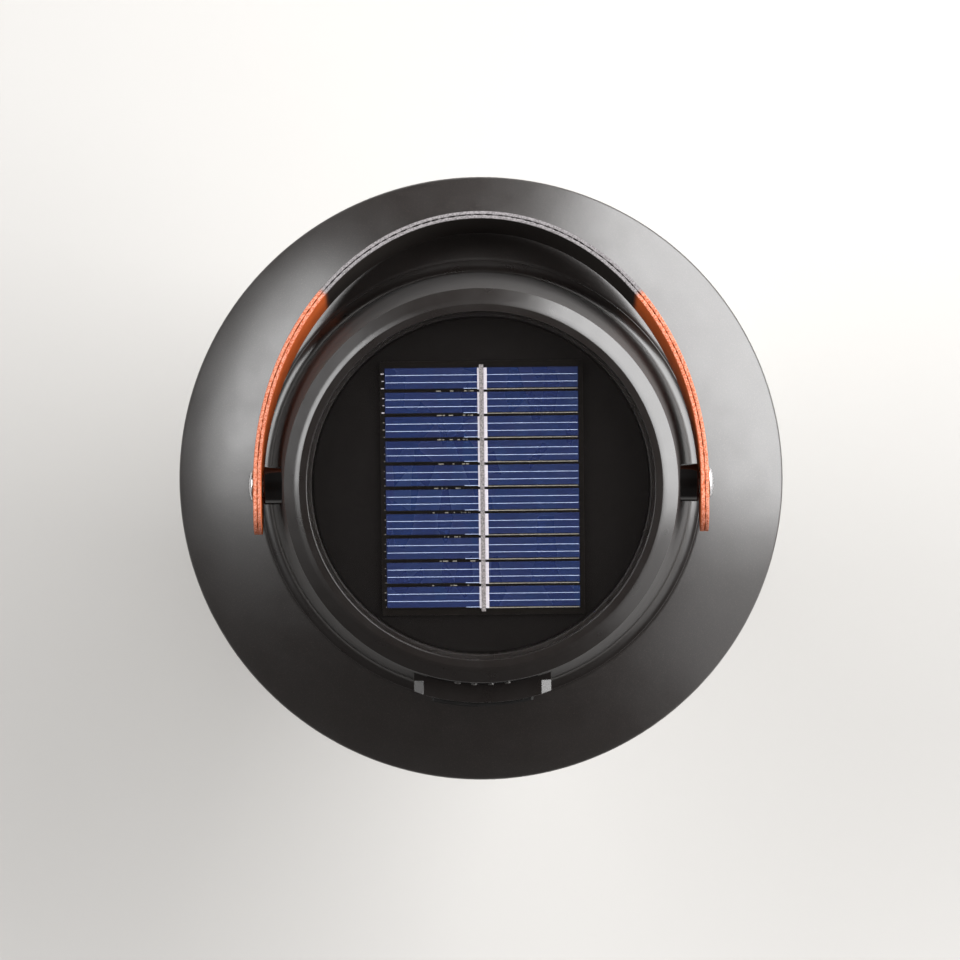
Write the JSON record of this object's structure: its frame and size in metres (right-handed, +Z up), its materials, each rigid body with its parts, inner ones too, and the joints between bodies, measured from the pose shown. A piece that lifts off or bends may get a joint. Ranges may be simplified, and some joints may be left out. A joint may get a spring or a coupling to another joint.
{
  "type": "solar lantern",
  "caption": "Round solar lantern with a wide shade, an opal light tube, a solar window in its cap, a folding strap handle, a charging port cover and a power button.",
  "frame": {"origin": "centre of the underside of the foot pad, on the surface that the lantern stands on", "axes": "+Z up along the lantern's axis; -Y is the front, with the charging port; the strap pivots on X and lies folded towards +Y at rest"},
  "size_m": [0.18, 0.18, 0.1997],
  "materials": {
    "shade_paint": "satin black powder coat with a fine speckle",
    "base_paint": "satin black powder coat with a fine speckle",
    "black_plastic": "fine-textured satin black moulding",
    "gloss_black": "polished black",
    "white_plastic": "white moulding",
    "opal": "opal, lets light through",
    "window": "clear, polished",
    "rubber": "matt black",
    "steel": "bright zinc plate",
    "leather": "tan-orange at the ends, dyed charcoal at the grip",
    "leather_lining": "tan-orange at the ends, dyed charcoal at the grip",
    "solar_cell": "polycrystalline blue",
    "circuit_board": "green solder mask",
    "panel_board": "black solder mask",
    "led_board_white": "white solder mask",
    "led": "yellow phosphor",
    "battery_wrap": "shrink wrap",
    "tinned": "tinned copper",
    "cable": "black sleeve",
    "smoked": "smoked, with four lighter pips"
  },
  "bodies": {
    "lantern": {"shade": "shade_paint", "base_cup": "base_paint", "neck_housing": "black_plastic", "port_housing": "black_plastic", "bezel_ring": "black_plastic", "battery_holder": "black_plastic", "pivot_boss_left": "gloss_black", "pivot_boss_right": "gloss_black", "tact_switch": "gloss_black", "panel_tray": "gloss_black", "light_carrier": "white_plastic", "reflector": "white_plastic", "strap_bush_left": "white_plastic", "strap_bush_right": "white_plastic", "diffuser": "opal", "solar_window": "window", "foot_pad": "rubber", "lower_diffuser_seal": "rubber", "upper_diffuser_seal": "rubber", "shade_gasket": "rubber", "window_gasket": "rubber", "base_weight": "steel", "base_screw_1": "steel", "base_screw_2": "steel", "base_screw_3": "steel", "housing_screw_1": "steel", "housing_screw_2": "steel", "housing_screw_3": "steel", "housing_screw_4": "steel", "strap_screw_left": "steel", "strap_screw_right": "steel", "usb_socket": "steel", "battery_spring": "steel", "solar_cell_1": "solar_cell", "solar_cell_2": "solar_cell", "solar_cell_3": "solar_cell", "solar_cell_4": "solar_cell", "solar_cell_5": "solar_cell", "solar_cell_6": "solar_cell", "solar_cell_7": "solar_cell", "solar_cell_8": "solar_cell", "solar_cell_9": "solar_cell", "solar_cell_10": "solar_cell", "control_board": "circuit_board", "solar_board": "panel_board", "led_board": "led_board_white", "led_1": "led", "led_2": "led", "led_3": "led", "battery_cell": "battery_wrap", "battery_contact": "tinned", "bus_ribbon": "tinned", "panel_lead": "cable", "led_lead": "cable", "charge_indicator": "smoked"},
    "handle": {"strap_outer": "leather", "strap_inner": "leather_lining"},
    "port_flap": {"port_cover": "rubber"},
    "power_key": {"power_button": "rubber"}
  },
  "joints": [
    {"name": "handle_swing", "type": "hinge", "parent": "lantern", "child": "handle", "pos_m": [0, 0, 0.1855], "axis": [1, 0, 0], "range_deg": [0, 206]},
    {"name": "port_cover_hinge", "type": "hinge", "parent": "lantern", "child": "port_flap", "pos_m": [0, -0.0653, 0.1846], "axis": [-1, 0, 0], "range_deg": [0, 80], "stiffness_Nm_per_rad": 0.002, "springref_deg": -11.46},
    {"name": "power_button_press", "type": "slide", "parent": "lantern", "child": "power_key", "axis": [0, 1, 0], "range_m": [0, 0.0008], "stiffness_N_per_m": 400, "springref_m": -0.0005}
  ]
}
